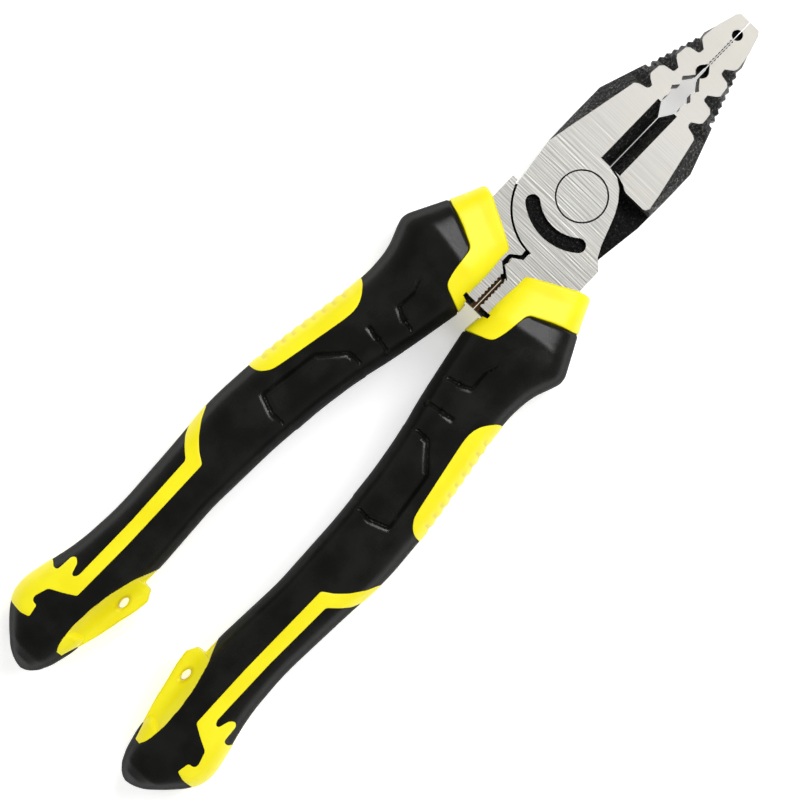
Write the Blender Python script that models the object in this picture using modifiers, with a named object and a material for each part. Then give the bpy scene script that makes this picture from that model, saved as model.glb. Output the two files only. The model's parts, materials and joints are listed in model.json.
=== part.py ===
# Lineman pliers, nominal 9 inch, with two-colour moulded grips.
#
# Lengths are in millimetres and are turned into Blender's metres by MM.
# Everything is drawn about the pivot: +X to the nose, +Y to the handle of lever B, +Z up,
# with z = 0 on the plane where the two levers lap. Lever B and its grip turn about the rivet.
import math

import bmesh
import bpy
import numpy as np
from mathutils import Matrix

MM = 0.001
WELD = 0.000001                  # metres; points closer than this are one point

# head
NOSE_LENGTH = 57.3
HEAD_HALF_THICKNESS = 7.0
FLANK_HALF_HEIGHT = 3.8          # where the forged flank starts to slope up to the ground face
LAP_GAP = 0.15                   # each lever stays this far from the lap plane
JAW_GAP = 0.1                    # each jaw stays this far from the centre line
SEAM_CENTRE = (-3.34, -0.86)     # the disc's rear edge is an arc about this point
SEAM_RADIUS = 14.73
SEAM_GAP = 0.55

# rivet
RIVET_HEAD_RADIUS = 6.2
RIVET_SHANK_RADIUS = 4.4
RIVET_HEAD_HEIGHT = 2.0
RIVET_CLEARANCE = 0.25

# jaws
CUTTER_START = 9.7
CUTTER_END = 29.2
CUTTER_CHANNEL = 3.1             # half width of the black channel over the cutting edges
RASP_TEETH = 7
RASP_PITCH = 1.83
FINE_TEETH = 8
FINE_PITCH = 1.0
NOSE_HOLE_X = 53.0
NOSE_HOLE_RADIUS = 1.35

# crimping dies behind the joint
DIE_EDGE = 0.65
DIE_END = -35.4
DIE_TEETH = 8
DIE_PITCH = 1.1
DIE_WEB_HALF_HEIGHT = 4.3        # within this height the two dies nearly meet under their toothed channel

# crescent recess on each disc
CRESCENT_RADIUS = 11.7
CRESCENT_HALF_WIDTH = 1.8
CRESCENT_HALF_ANGLE = 40.0
CRESCENT_DEPTH = 1.6

# tangs and grips
BLOCK_STEP_LENGTH = 1.4          # the step behind the jaw block, where it narrows to the tang
BLOCK_STEP_DEPTH = 1.6
TANG_HALF_THICKNESS = 3.5
TANG_START = -34.0
TANG_END = -127.0
SLEEVE_START = -42.5
SLEEVE_WALL = 1.7
FIT_GAP = 0.3                    # between a grip piece and what it sits on
INLAY_DEPTH = 1.6
GRIP_SLIDE = 1.0                 # grip B sits this much further forward, grip A further back
GRIP_POINTS = 20                 # points round a grip section

# each outline is a list of (x, y), drawn on the +Y side and mirrored for the other lever
NOSE_OUTER = [(-7.7, 13.3), (0, 14.3), (4, 14.85), (13, 15.0), (21.8, 14.95), (33.2, 11.0), (33.4, 10.0),
              (34.4, 9.6)]
NOSE_TIP = [(48.5, 6.15), (52, 5.0), (56.4, 3.7), (NOSE_LENGTH, 2.9)]
GROUND_FACE = [(4, 14.85), (28.0, 9.8), (28.6, 9.0), (29.2, 6.8), (29.7, 6.4), (30.5, 6.35), (31.6, 8.0),
               (32.3, 8.6), (35.0, 8.35), (35.9, 7.5), (36.3, 5.2), (36.7, 4.85), (37.8, 4.75), (39.1, 6.6),
               (39.8, 7.15), (42.5, 6.8), (43.2, 6.0), (43.6, 3.9), (44.0, 3.5), (45.1, 3.45), (46.4, 5.2),
               (47.3, 5.65), (51, 5.2), (52, 5.0), (56.4, 3.7), (NOSE_LENGTH, 2.9)]
DISC_FRONT = [(-9.6, -15.0), (-8.5, -13.8), (-7.9, -12.8), (-5, -11.3), (0, -9.5), (2.5, -8.5), (5, -7.1),
              (7.5, -5), (8.9, -3), (9.3, -1)]
JAW_REAR = [(7.8, 12.4), (7.8, 7.0), (8.1, 6.1), (8.7, 5.2), (9.4, 3.0), (9.75, 1.0)]
PIPE_GRIP = [(26.6, JAW_GAP), (29.1, 1.95), (29.6, 2.25), (30.5, 2.42), (31.3, 2.15), (32.0, 2.1), (32.9, 2.6),
             (33.8, 3.0), (34.6, 2.3), (35.3, 1.65), (36.2, 2.1), (37.1, 2.7), (38.0, 1.8), (39.2, 0.9),
             (39.8, 0.35), (43.2, 0.3)]
DIAMOND_POCKET = [(39.3, -0.2), (39.6, 0.9), (40.3, 1.5), (41.0, 1.65), (41.7, 1.5), (43.4, 0.2), (43.4, -0.2)]
# lever A carries the punch of the crimping die, lever B the hollow; both drawn as if on the +Y side
PUNCH = [(-20.4, DIE_EDGE), (-22.0, -1.85), (-22.4, -1.75), (-23.1, -1.5), (-23.8, -1.75), (-24.3, -1.9),
         (-25.8, 0.1), (-26.2, DIE_EDGE)]
HOLLOW = [(-20.0, DIE_EDGE), (-21.5, 2.65), (-22.0, 2.95), (-24.2, 3.0), (-26.1, DIE_EDGE)]
BLOCK_OUTER = [(DIE_END, 15.8), (-24, 15.4), (-14.2, 15.2), (-7.7, 15.2)]
TANG_INNER = [(-34, 5.0), (-44, 9.0), (-60, 11.0), (-80, 14.7), (-100, 16.2), (-120, 16.2), (TANG_END, 16.8)]
TANG_OUTER = [(-34, 15.4), (-44, 17.5), (-60, 19.7), (-80, 23.2), (-100, 24.5), (-120, 23.6), (TANG_END, 22.6)]

GRIP_OUTER = [(-15.2, 18.2), (-23.3, 22.1), (-33.4, 27.0), (-35.4, 26.7), (-41, 24.8), (-45, 24.0), (-51, 23.9),
              (-60, 25.4), (-80, 28.6), (-97, 29.8), (-110, 28.8), (-130, 27.8), (-143, 28.7), (-156, 31.9),
              (-160, 32.5), (-164.2, 31.0), (-168, 27.7), (-172, 23.3), (-173.4, 21.0), (-174.2, 18.8)]
GRIP_INNER = [(-21.5, 2.0), (-35, 2.5), (-37.3, 2.2), (-41, 1.8), (-50, 3.5), (-60, 5.5), (-70, 8.0), (-80, 9.6),
              (-95, 11.0), (-115, 11.8), (-133.5, 10.8), (-150, 10.9), (-163, 11.8), (-168.5, 13.2), (-172, 15.2),
              (-173.4, 16.5), (-174.2, 18.2)]
GRIP_HALF_THICKNESS = [(-15, 8.8), (-22, 9.0), (-33, 11.2), (-37, 11.2), (-50, 10.3), (-80, 9.8), (-105, 10.0),
                       (-130, 9.6), (-150, 9.9), (-163, 9.6), (-169.5, 8.2), (-172, 6.4), (-173.4, 4.6), (-174.2, 2.4)]
GRIP_STATIONS = [-21.5, -25.5, -29.5, -33, -36, -37.3, -39, -41, -45, -50, -55, -62, -70, -78, -86, -94, -102,
                 -110, -119, -128, -137, -144, -150, -156, -160, -164.2, -166.2, -168, -170, -172, -173.4, -174.2]
FRONT_SLANT = 6.3                # the grip's front face leans: its outer end is this far ahead of its inner end
SLANT_END = -55.0                # behind this the sections are square to the x axis

COLLAR_REAR = [(-22.2, 25), (-23.3, 21.9), (-27.9, 10.9), (-28.9, 10.2), (-34.8, 9.5), (-37.9, 8.7), (-38.9, 7.7),
               (-41.2, 1.5), (-42.0, -1.0)]
PAD = [(-51.0, 27), (-51.0, 23.7), (-54.0, 21.1), (-56.2, 20.1), (-58.5, 19.8), (-61.5, 20.2), (-78.5, 23.5),
       (-81.5, 24.2), (-83.6, 25.8), (-84.6, 27.6), (-84.7, 31)]
STRIPE = [(-98.0, 32), (-99.0, 29.4), (-102, 27.6), (-105.5, 24.8), (-107.3, 22.4), (-108.9, 20.5), (-135, 20.0),
          (-152.3, 20.3), (-154.0, 23.2), (-155.8, 26.6), (-159.3, 27.7), (-160.3, 27.3), (-160.3, 25.8),
          (-163.6, 25.2), (-164.5, 27.5), (-164.4, 33.5), (-151.0, 33.5), (-150.4, 30.1), (-151.2, 29.2),
          (-150.9, 28.1), (-146.6, 27.8), (-145.7, 27.0), (-146.6, 25.8), (-149.3, 24.9), (-149.3, 24.1),
          (-148.3, 23.6), (-130, 23.5), (-111.1, 24.1), (-109, 26.5), (-107, 28.3), (-104.6, 29.5), (-103.5, 32)]
LEAF = [(-134.5, 10.9), (-140, 13.2), (-146.5, 14.9), (-152, 15.7), (-158, 16.0), (-162.3, 15.6), (-164.6, 14.7),
        (-165.3, 13.6), (-164.8, 12.9), (-160.0, 11.3)]
FIN = [(-155, 9.9), (-150, 8.85), (-145.5, 7.75), (-141.8, 7.3), (-139.6, 8.5), (-139.0, 10.9)]
FIN_SECTION = [(5.0, 2.5), (12.5, 2.7), (14.9, 7.8), (17.0, 8.8)]
LANYARD_HOLE = (-146.0, 11.2, 1.7, 0.95)

PIVOT_X = (-GRIP_OUTER[-1][0] + GRIP_SLIDE - NOSE_LENGTH) / 2
PIVOT_Z = max(height for _, height in GRIP_HALF_THICKNESS)

COLOURS = {
    "ground_steel": ((0.68, 0.67, 0.65), 0.32, 1.0),
    "yellow_plastic": ((0.93, 0.82, 0.03), 0.38, 0.0),
    "black_rubber": ((0.012, 0.012, 0.012), 0.55, 0.0),
}


def interpolate(points, x):
    # straight lines through points whose x may run either way
    ordered = np.array(sorted(points))
    return np.interp(x, ordered[:, 0], ordered[:, 1])


def arc(centre, radius, start, end, steps):
    angles = np.radians(np.linspace(start, end, steps))
    return [(centre[0] + radius * math.cos(a), centre[1] + radius * math.sin(a)) for a in angles]


def mirrored(outline, side):
    return [(x, side * y) for x, y in outline]


def grow(outline, distance):
    # moves every edge of a closed outline outwards, or inwards where distance is negative
    points = np.array(outline, float)
    edges = np.roll(points, -1, axis=0) - points
    area = np.sum(points[:, 0] * np.roll(points[:, 1], -1) - np.roll(points[:, 0], -1) * points[:, 1])
    normals = np.stack([edges[:, 1], -edges[:, 0]], axis=1) * np.sign(area)
    normals /= np.linalg.norm(normals, axis=1)[:, None]
    before = np.roll(normals, 1, axis=0)
    spread = 1 + np.sum(before * normals, axis=1)
    return [tuple(p) for p in points + distance * (before + normals) / np.maximum(spread, 0.5)[:, None]]


def make_collection(name):
    collection = bpy.data.collections.new(name)
    bpy.context.scene.collection.children.link(collection)
    return collection


def make_material(name):
    colour, roughness, metallic = COLOURS[name]
    material = bpy.data.materials.new(name)
    material.use_nodes = True
    shader = material.node_tree.nodes["Principled BSDF"]
    shader.inputs["Base Color"].default_value = (*colour, 1.0)
    shader.inputs["Roughness"].default_value = roughness
    shader.inputs["Metallic"].default_value = metallic
    return material


def link_cutter(name, data):
    # a working solid, hidden from renders until it is kept as a part
    piece = bpy.data.objects.new(name, data)
    piece.display_type = "WIRE"
    piece.hide_render = True
    workshop.objects.link(piece)
    return piece


def mesh_object(name, bm, mesh=None):
    bmesh.ops.remove_doubles(bm, verts=bm.verts, dist=WELD)
    bmesh.ops.recalc_face_normals(bm, faces=bm.faces)
    mesh = mesh or bpy.data.meshes.new(name)
    bm.to_mesh(mesh)
    bm.free()
    return link_cutter(name, mesh)


def plate(name, outline, low, high):
    # a flat outline of even thickness: a filled 2D curve, then made a mesh
    curve = bpy.data.curves.new(name, "CURVE")
    curve.dimensions = "2D"
    curve.fill_mode = "BOTH"
    curve.extrude = (high - low) / 2 * MM
    spline = curve.splines.new("POLY")
    spline.points.add(len(outline) - 1)
    for point, (x, y) in zip(spline.points, outline):
        point.co = (x * MM, y * MM, 0, 1)
    spline.use_cyclic_u = True
    guide = link_cutter(name, curve)
    guide.location.z = (low + high) / 2 * MM
    bpy.context.view_layer.update()
    mesh = bpy.data.meshes.new_from_object(guide.evaluated_get(bpy.context.evaluated_depsgraph_get()))
    mesh.transform(guide.matrix_world)
    bpy.data.objects.remove(guide)
    bm = bmesh.new()
    bm.from_mesh(mesh)
    return mesh_object(name, bm, mesh)


def loft(name, rings):
    # closed skin over sections that all have the same number of points, given in millimetres
    bm = bmesh.new()
    rows = [[bm.verts.new([c * MM for c in point]) for point in ring] for ring in rings]
    for near, far in zip(rows, rows[1:]):
        for i in range(len(near)):
            j = (i + 1) % len(near)
            bm.faces.new((near[i], near[j], far[j], far[i]))
    bm.faces.new(rows[0])
    bm.faces.new(rows[-1])
    return mesh_object(name, bm)


def combine(target, tools, operation, keep_tools=False):
    # cuts, joins or intersects the target with each tool in turn, and keeps the result as its mesh
    for tool in tools:
        modifier = target.modifiers.new(operation, "BOOLEAN")
        modifier.operation = operation
        modifier.solver = "EXACT"
        modifier.object = tool
        bpy.context.view_layer.update()
        result = bpy.data.meshes.new_from_object(target.evaluated_get(bpy.context.evaluated_depsgraph_get()))
        target.modifiers.clear()
        target.data = result
        if not keep_tools:
            bpy.data.objects.remove(tool)
    return target


def keep(piece, name, material, parent):
    # makes a working solid a part of the pliers, on the half that it moves with
    bm = bmesh.new()
    bm.from_mesh(piece.data)
    bmesh.ops.remove_doubles(bm, verts=bm.verts, dist=WELD)
    bmesh.ops.dissolve_limit(bm, angle_limit=math.radians(0.2), verts=bm.verts, edges=bm.edges)
    bmesh.ops.triangulate(bm, faces=bm.faces)
    bm.to_mesh(piece.data)
    bm.free()
    piece.name = name
    piece.data.name = name
    piece.data.materials.clear()
    piece.data.materials.append(material)
    piece.data.shade_smooth()
    piece.data.set_sharp_from_angle(angle=math.radians(35))
    piece.display_type = "TEXTURED"
    piece.hide_render = False
    workshop.objects.unlink(piece)
    pliers.objects.link(piece)
    piece.parent = parent
    return piece


def outer_profile():
    # the nose's outer edge, with the rasp teeth as a zigzag that falls towards the tip
    teeth = []
    for i in range(RASP_TEETH):
        x, y = 35.0 + RASP_PITCH * i, 10.35 - 0.595 * i
        teeth += [(x, y), (x + 0.85, y - 1.0)]
    return NOSE_OUTER + teeth + [(46.95, 5.9)] + NOSE_TIP


def jaw_profile(start):
    # the gripping edge from the cutter to the tip, on the +Y side
    teeth = []
    for i in range(FINE_TEETH):
        x = 43.5 + FINE_PITCH * i
        teeth += [(x, 0.12), (x + FINE_PITCH / 2, 0.45)]
    hole = arc((NOSE_HOLE_X, 0), NOSE_HOLE_RADIUS, 175, 5, 9)
    return [(start, JAW_GAP)] + PIPE_GRIP + teeth + [(51.4, 0.12)] + hole + [(NOSE_LENGTH, JAW_GAP)]


def head_layer(name, rear, jaw_start, outer_start, corner, heights):
    # one layer of the head: the silhouette, then the flank up to the ground face
    outer, ground = outer_profile(), GROUND_FACE
    stops = sorted({x for x, _ in outer + ground if x >= outer_start}, reverse=True)
    silhouette = [(x, interpolate(outer, x)) for x in stops]
    face = [(x, min(interpolate(ground, x), y)) if x > ground[0][0] else (x, y) for x, y in silhouette]
    jaw = jaw_profile(jaw_start)
    wall = jaw + silhouette + corner[0] + rear
    top = jaw + face + corner[1] + rear
    middle, low, high = heights
    rings = [[(x, y, low) for x, y in wall], [(x, y, middle) for x, y in wall], [(x, y, high) for x, y in top]]
    return loft(name, rings)


def half_head(name):
    # lever A's half of the head: its disc is the upper layer, its jaw is full thickness on the +Y side
    seam = arc(SEAM_CENTRE, SEAM_RADIUS, 108.5, 174.3, 14)
    disc_rear = seam + [(-18.05, -DIE_EDGE), (-19.5, -DIE_EDGE), (-19.5, -15.2)] + DISC_FRONT
    upper = head_layer("upper_layer", disc_rear, 9.55, -7.7, ([], []),
                       (FLANK_HALF_HEIGHT, LAP_GAP, HEAD_HALF_THICKNESS))
    corner = ([(7.8, 14.9), (7.8, 13.4)], [(8.9, 13.6), (8.0, 13.1)])
    lower = head_layer("lower_layer", JAW_REAR, 9.8, 9.6, corner,
                       (-FLANK_HALF_HEIGHT, 2 * LAP_GAP, -HEAD_HALF_THICKNESS))
    head = combine(upper, [lower], "UNION")
    head.name = name

    cuts = [crescent_cutter()]
    for face in (1, -1):
        low, high = sorted((face * 3.5, face * (HEAD_HALF_THICKNESS + 1)))
        cuts.append(plate("diamond", DIAMOND_POCKET, low, high))
        cuts.append(cutter_bevel(face))
    return combine(head, cuts, "DIFFERENCE")


def cutter_bevel(face):
    # the sloping face that leads down to the cutting edge, as a wedge along x
    top = HEAD_HALF_THICKNESS
    section = [(-1.5, 0.5), (JAW_GAP, 0.5), (CUTTER_CHANNEL, top), (CUTTER_CHANNEL, top + 1), (-1.5, top + 1)]
    return loft("cutter_bevel", [[(x, y, face * z) for y, z in section] for x in (CUTTER_START, CUTTER_END)])


def crescent_cutter():
    half = CRESCENT_HALF_ANGLE
    first, last = 180 - half, 180 + half
    ends = [arc((0, 0), CRESCENT_RADIUS, angle, angle, 1)[0] for angle in (first, last)]
    outline = arc((0, 0), CRESCENT_RADIUS + CRESCENT_HALF_WIDTH, first, last, 14)
    outline += arc(ends[1], CRESCENT_HALF_WIDTH, last, last + 180, 9)[1:-1]
    outline += arc((0, 0), CRESCENT_RADIUS - CRESCENT_HALF_WIDTH, last, first, 14)
    outline += arc(ends[0], CRESCENT_HALF_WIDTH, first + 180, first + 360, 9)[1:-1]
    return plate("crescent", outline, HEAD_HALF_THICKNESS - CRESCENT_DEPTH, HEAD_HALF_THICKNESS + 1)


def die_profile(shape):
    teeth = []
    for i in range(DIE_TEETH):
        x = -26.6 - DIE_PITCH * i
        teeth += [(x, DIE_EDGE + 0.4), (x - DIE_PITCH / 2, DIE_EDGE)]
    return shape + teeth + [(DIE_END, DIE_EDGE)]


def block_outline(shape):
    # the full-thickness block behind the joint, up to the arc that the other lever's disc turns in
    clear_arc = arc(SEAM_CENTRE, SEAM_RADIUS + SEAM_GAP, 106.8, 174, 14)
    return clear_arc + die_profile(shape) + BLOCK_OUTER


def tang_outline(front, rear, growth):
    # the handle's core bar between two x values, widened on both sides
    stops = np.linspace(front, rear, 12)
    inner = [(x, interpolate(TANG_INNER, x) - growth) for x in stops]
    outer = [(x, interpolate(TANG_OUTER, x) + growth) for x in stops]
    return inner + outer[::-1]


def make_lever(name, side, shape, material, parent):
    top = HEAD_HALF_THICKNESS
    lever = half_head(name)
    if side > 0:
        lever.data.transform(Matrix.Rotation(math.pi, 4, "X"))
    block = mirrored(block_outline(shape), side)
    step_rear = DIE_END - BLOCK_STEP_LENGTH
    step = mirrored([(DIE_END + 2, DIE_EDGE + 0.3), (step_rear, DIE_EDGE + 0.3), (step_rear, 14), (DIE_END + 2, 14)],
                    side)
    tang = mirrored(tang_outline(TANG_START, TANG_END, 0), side)
    step_top = top - BLOCK_STEP_DEPTH
    web = mirrored([(-26.9, JAW_GAP), (DIE_END, JAW_GAP), (DIE_END, 2.0), (-26.9, 2.0)], side)
    additions = [plate("block", block, -top, top), plate("step", step, -step_top, step_top),
                 plate("web", web, -DIE_WEB_HALF_HEIGHT, DIE_WEB_HALF_HEIGHT),
                 plate("tang", tang, -TANG_HALF_THICKNESS, TANG_HALF_THICKNESS)]
    combine(lever, additions, "UNION")
    combine(lever, [turned("bore", rivet_profile(RIVET_CLEARANCE))], "DIFFERENCE")
    return keep(lever, name, material, parent)


def rivet_profile(clearance):
    # half section of the rivet as (radius, z), from the top down
    reach = HEAD_HALF_THICKNESS + (1 if clearance else 0)
    shoulder = HEAD_HALF_THICKNESS - RIVET_HEAD_HEIGHT - clearance
    head, shank = RIVET_HEAD_RADIUS + clearance, RIVET_SHANK_RADIUS + clearance
    return [(0, reach), (head, reach), (head, shoulder), (shank, shoulder), (shank, -shoulder),
            (head, -shoulder), (head, -reach), (0, -reach)]


def turned(name, profile):
    mesh = bpy.data.meshes.new(name)
    edges = [(i, i + 1) for i in range(len(profile) - 1)]
    mesh.from_pydata([(radius * MM, 0, z * MM) for radius, z in profile], edges, [])
    piece = link_cutter(name, mesh)
    screw = piece.modifiers.new("Screw", "SCREW")
    screw.steps = 48
    screw.render_steps = 48
    screw.use_merge_vertices = True
    screw.merge_threshold = 0.00001
    bpy.context.view_layer.update()
    piece.data = bpy.data.meshes.new_from_object(piece.evaluated_get(bpy.context.evaluated_depsgraph_get()))
    piece.modifiers.clear()
    return piece


def grip_section(station, side, inset):
    # a rounded section: |across|^n + |up|^n = 1, squarer at the guard than at the palm
    slant = FRONT_SLANT * max(0.0, (station - SLANT_END) / (GRIP_STATIONS[0] - SLANT_END))
    inner_x, outer_x = station, station + slant
    inner_y, outer_y = interpolate(GRIP_INNER, inner_x), interpolate(GRIP_OUTER, outer_x)
    half_height = interpolate(GRIP_HALF_THICKNESS, (inner_x + outer_x) / 2) - inset
    shrink = 1 - 2 * inset / (outer_y - inner_y)
    power = np.interp(station, [-60, -30], [2 / 2.7, 2 / 3.6])
    angles = 2 * np.pi * np.arange(GRIP_POINTS) / GRIP_POINTS
    across = np.sign(np.cos(angles)) * np.abs(np.cos(angles)) ** power * shrink
    up = np.sign(np.sin(angles)) * np.abs(np.sin(angles)) ** power
    x = (inner_x + outer_x) / 2 + across * (outer_x - inner_x) / 2 + GRIP_SLIDE * side
    y = (inner_y + outer_y) / 2 + across * (outer_y - inner_y) / 2
    return list(zip(x, side * y, half_height * up))


def grip_loft(name, side, inset=0.0):
    stations = GRIP_STATIONS if inset == 0 else [x for x in GRIP_STATIONS if -170 < x < -44]
    return loft(name, [grip_section(station, side, inset) for station in stations])


def region(name, outline, side, growth, half_height=14.0):
    moved = [(x + GRIP_SLIDE * side, side * y) for x, y in grow(outline, growth)]
    return plate(name, moved, -half_height, half_height)


def inlay(name, blank, under, outline, side):
    piece = combine(region(name, outline, side, -FIT_GAP / 2), [blank], "INTERSECT", keep_tools=True)
    return combine(piece, [under], "DIFFERENCE", keep_tools=True)


def tang_space(side):
    # the room that the lever needs inside its grip, open towards the other handle
    top = HEAD_HALF_THICKNESS + FIT_GAP
    block = [(-10, -4)] + [(x, y + FIT_GAP) for x, y in BLOCK_OUTER[::-1]]
    block = mirrored(block[:-1] + [(DIE_END - FIT_GAP, BLOCK_OUTER[0][1] + FIT_GAP), (DIE_END - FIT_GAP, -4)], side)
    step_rear = DIE_END - BLOCK_STEP_LENGTH - 0.8
    step = mirrored([(DIE_END + 2, -4), (step_rear, -4), (step_rear, 14.6), (DIE_END + 2, 14.6)], side)
    tang = mirrored(tang_outline(TANG_START + 1, TANG_END - FIT_GAP, FIT_GAP), side)
    step_top, bar_top = top - BLOCK_STEP_DEPTH + 0.1, TANG_HALF_THICKNESS + FIT_GAP
    space = plate("tang_space", block, -top, top)
    return combine(space, [plate("step_space", step, -step_top, step_top),
                           plate("bar_space", tang, -bar_top, bar_top)], "UNION")


def lanyard_tab(side):
    piece = region("tab", LEAF + FIN, side, -FIT_GAP / 2)
    profile = FIN_SECTION + [(y, -z) for y, z in FIN_SECTION[::-1]]
    wedge = loft("wedge", [[(x, side * y, z) for y, z in profile] for x in (-170, -130)])
    hole_x, hole_y, long_radius, short_radius = LANYARD_HOLE
    angles = np.linspace(0, 2 * np.pi, 16, endpoint=False)
    oval = [(hole_x + long_radius * math.cos(a), hole_y + short_radius * math.sin(a)) for a in angles]
    combine(piece, [wedge], "INTERSECT")
    return combine(piece, [region("hole", oval, side, 0)], "DIFFERENCE")


def make_grip(letter, side, parent):
    blank = grip_loft("blank", side)
    under = grip_loft("under", side, INLAY_DEPTH)
    seat = grip_loft("seat", side, INLAY_DEPTH + FIT_GAP)
    collar_area = COLLAR_REAR + [(-10, -1), (-10, 25)]

    collar = combine(region("collar", collar_area, side, -FIT_GAP / 2), [blank], "INTERSECT", keep_tools=True)
    combine(collar, [tang_space(side)], "DIFFERENCE")
    keep(collar, f"guard_collar_{letter}", yellow_plastic, parent)
    keep(inlay("pad", blank, under, PAD, side), f"thumb_pad_{letter}", yellow_plastic, parent)
    keep(inlay("stripe", blank, under, STRIPE, side), f"palm_stripe_{letter}", yellow_plastic, parent)
    keep(lanyard_tab(side), f"lanyard_tab_{letter}", yellow_plastic, parent)

    wall, rear = FIT_GAP + SLEEVE_WALL, TANG_END - FIT_GAP
    height = TANG_HALF_THICKNESS + wall
    sleeve = plate("sleeve", mirrored(tang_outline(SLEEVE_START, rear - SLEEVE_WALL, wall), side), -height, height)
    bore = mirrored(tang_outline(SLEEVE_START + 1, rear, FIT_GAP), side)
    bore_top = TANG_HALF_THICKNESS + FIT_GAP
    combine(sleeve, [plate("bore", bore, -bore_top, bore_top)], "DIFFERENCE")
    keep(sleeve, f"core_sleeve_{letter}", yellow_plastic, parent)

    pocket = mirrored(tang_outline(SLEEVE_START + FIT_GAP, rear - wall, wall + FIT_GAP), side)
    cuts = [region("collar_room", collar_area, side, FIT_GAP / 2),
            region("leaf_room", LEAF + [(-160, 4), (-134.5, 4)], side, FIT_GAP / 2),
            plate("sleeve_room", pocket, -height - FIT_GAP, height + FIT_GAP), tang_space(side)]
    for outline in (PAD, STRIPE):
        room = region("room", outline, side, FIT_GAP / 2)
        cuts.append(combine(room, [seat], "DIFFERENCE", keep_tools=True))
    combine(blank, cuts, "DIFFERENCE")
    keep(blank, f"grip_skin_{letter}", black_rubber, parent)
    for tool in (under, seat):
        bpy.data.objects.remove(tool)


for old in list(bpy.data.objects):
    bpy.data.objects.remove(old, do_unlink=True)
pliers = make_collection("lineman_pliers")
workshop = make_collection("cutters")
ground_steel = make_material("ground_steel")
yellow_plastic = make_material("yellow_plastic")
black_rubber = make_material("black_rubber")

pivot_empties = []
for half in ("fixed_half", "turning_half"):
    empty = bpy.data.objects.new(half, None)
    empty.location = (PIVOT_X * MM, 0, PIVOT_Z * MM)
    pliers.objects.link(empty)
    pivot_empties.append(empty)
fixed_half, turning_half = pivot_empties

make_lever("lever_a", -1, PUNCH, ground_steel, fixed_half)
make_lever("lever_b", 1, HOLLOW, ground_steel, turning_half)
keep(turned("rivet", rivet_profile(0)), "pivot_rivet", ground_steel, fixed_half)
make_grip("a", -1, fixed_half)
make_grip("b", 1, turning_half)
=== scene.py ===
# Lineman pliers with two-colour moulded grips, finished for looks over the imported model.
# Shapes are worked out in millimetres about the pivot, with the nose along +X. The +Y grip is the
# pattern. The -Y grip is its mirror image, apart from a slight lean of its stripe.
import json

import bmesh
import bpy
import numpy as np
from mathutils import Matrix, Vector
from mathutils.geometry import delaunay_2d_cdt


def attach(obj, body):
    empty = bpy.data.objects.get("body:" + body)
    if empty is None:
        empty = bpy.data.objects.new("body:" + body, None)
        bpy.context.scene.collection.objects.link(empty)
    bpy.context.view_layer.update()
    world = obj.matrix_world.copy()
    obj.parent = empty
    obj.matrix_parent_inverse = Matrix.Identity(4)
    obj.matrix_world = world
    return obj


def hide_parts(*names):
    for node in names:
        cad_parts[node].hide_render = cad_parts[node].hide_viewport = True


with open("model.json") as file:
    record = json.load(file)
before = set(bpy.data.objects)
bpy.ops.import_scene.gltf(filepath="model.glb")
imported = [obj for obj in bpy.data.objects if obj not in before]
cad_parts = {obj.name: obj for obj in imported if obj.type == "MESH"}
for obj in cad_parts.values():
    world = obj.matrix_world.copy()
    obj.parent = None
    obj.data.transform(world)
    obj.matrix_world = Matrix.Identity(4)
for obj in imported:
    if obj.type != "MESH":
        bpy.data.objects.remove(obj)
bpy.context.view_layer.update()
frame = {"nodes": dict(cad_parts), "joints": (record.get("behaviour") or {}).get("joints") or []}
print("frame loaded:", len(frame["nodes"]), "nodes")

pivot = np.array(frame["joints"][0]["pos_m"]) * 1000
halves = [                   # slide moves the grip along X, lean tilts its stripe outwards
    {"mark": "a", "side": -1, "slide": -1.0, "lean": 0.018, "body": "fixed_half"},
    {"mark": "b", "side": 1, "slide": 1.0, "lean": 0.0, "body": "turning_half"},
]
throughHeight = 14.0         # half height of a cutter that passes every face
sharpAngle = 38              # edges that turn more than this stay sharp


class Wire:
    # one output socket; arithmetic on it adds Math nodes to its material
    def __init__(self, paint, socket):
        self.paint, self.socket = paint, socket

    def __add__(self, other):
        return self.paint.math("ADD", self, other)

    def __sub__(self, other):
        return self.paint.math("SUBTRACT", self, other)

    def __rsub__(self, other):
        return self.paint.math("SUBTRACT", other, self)

    def __mul__(self, other):
        return self.paint.math("MULTIPLY", self, other)

    def __abs__(self):
        return self.paint.math("ABSOLUTE", self)

    __radd__ = __add__
    __rmul__ = __mul__


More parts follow.
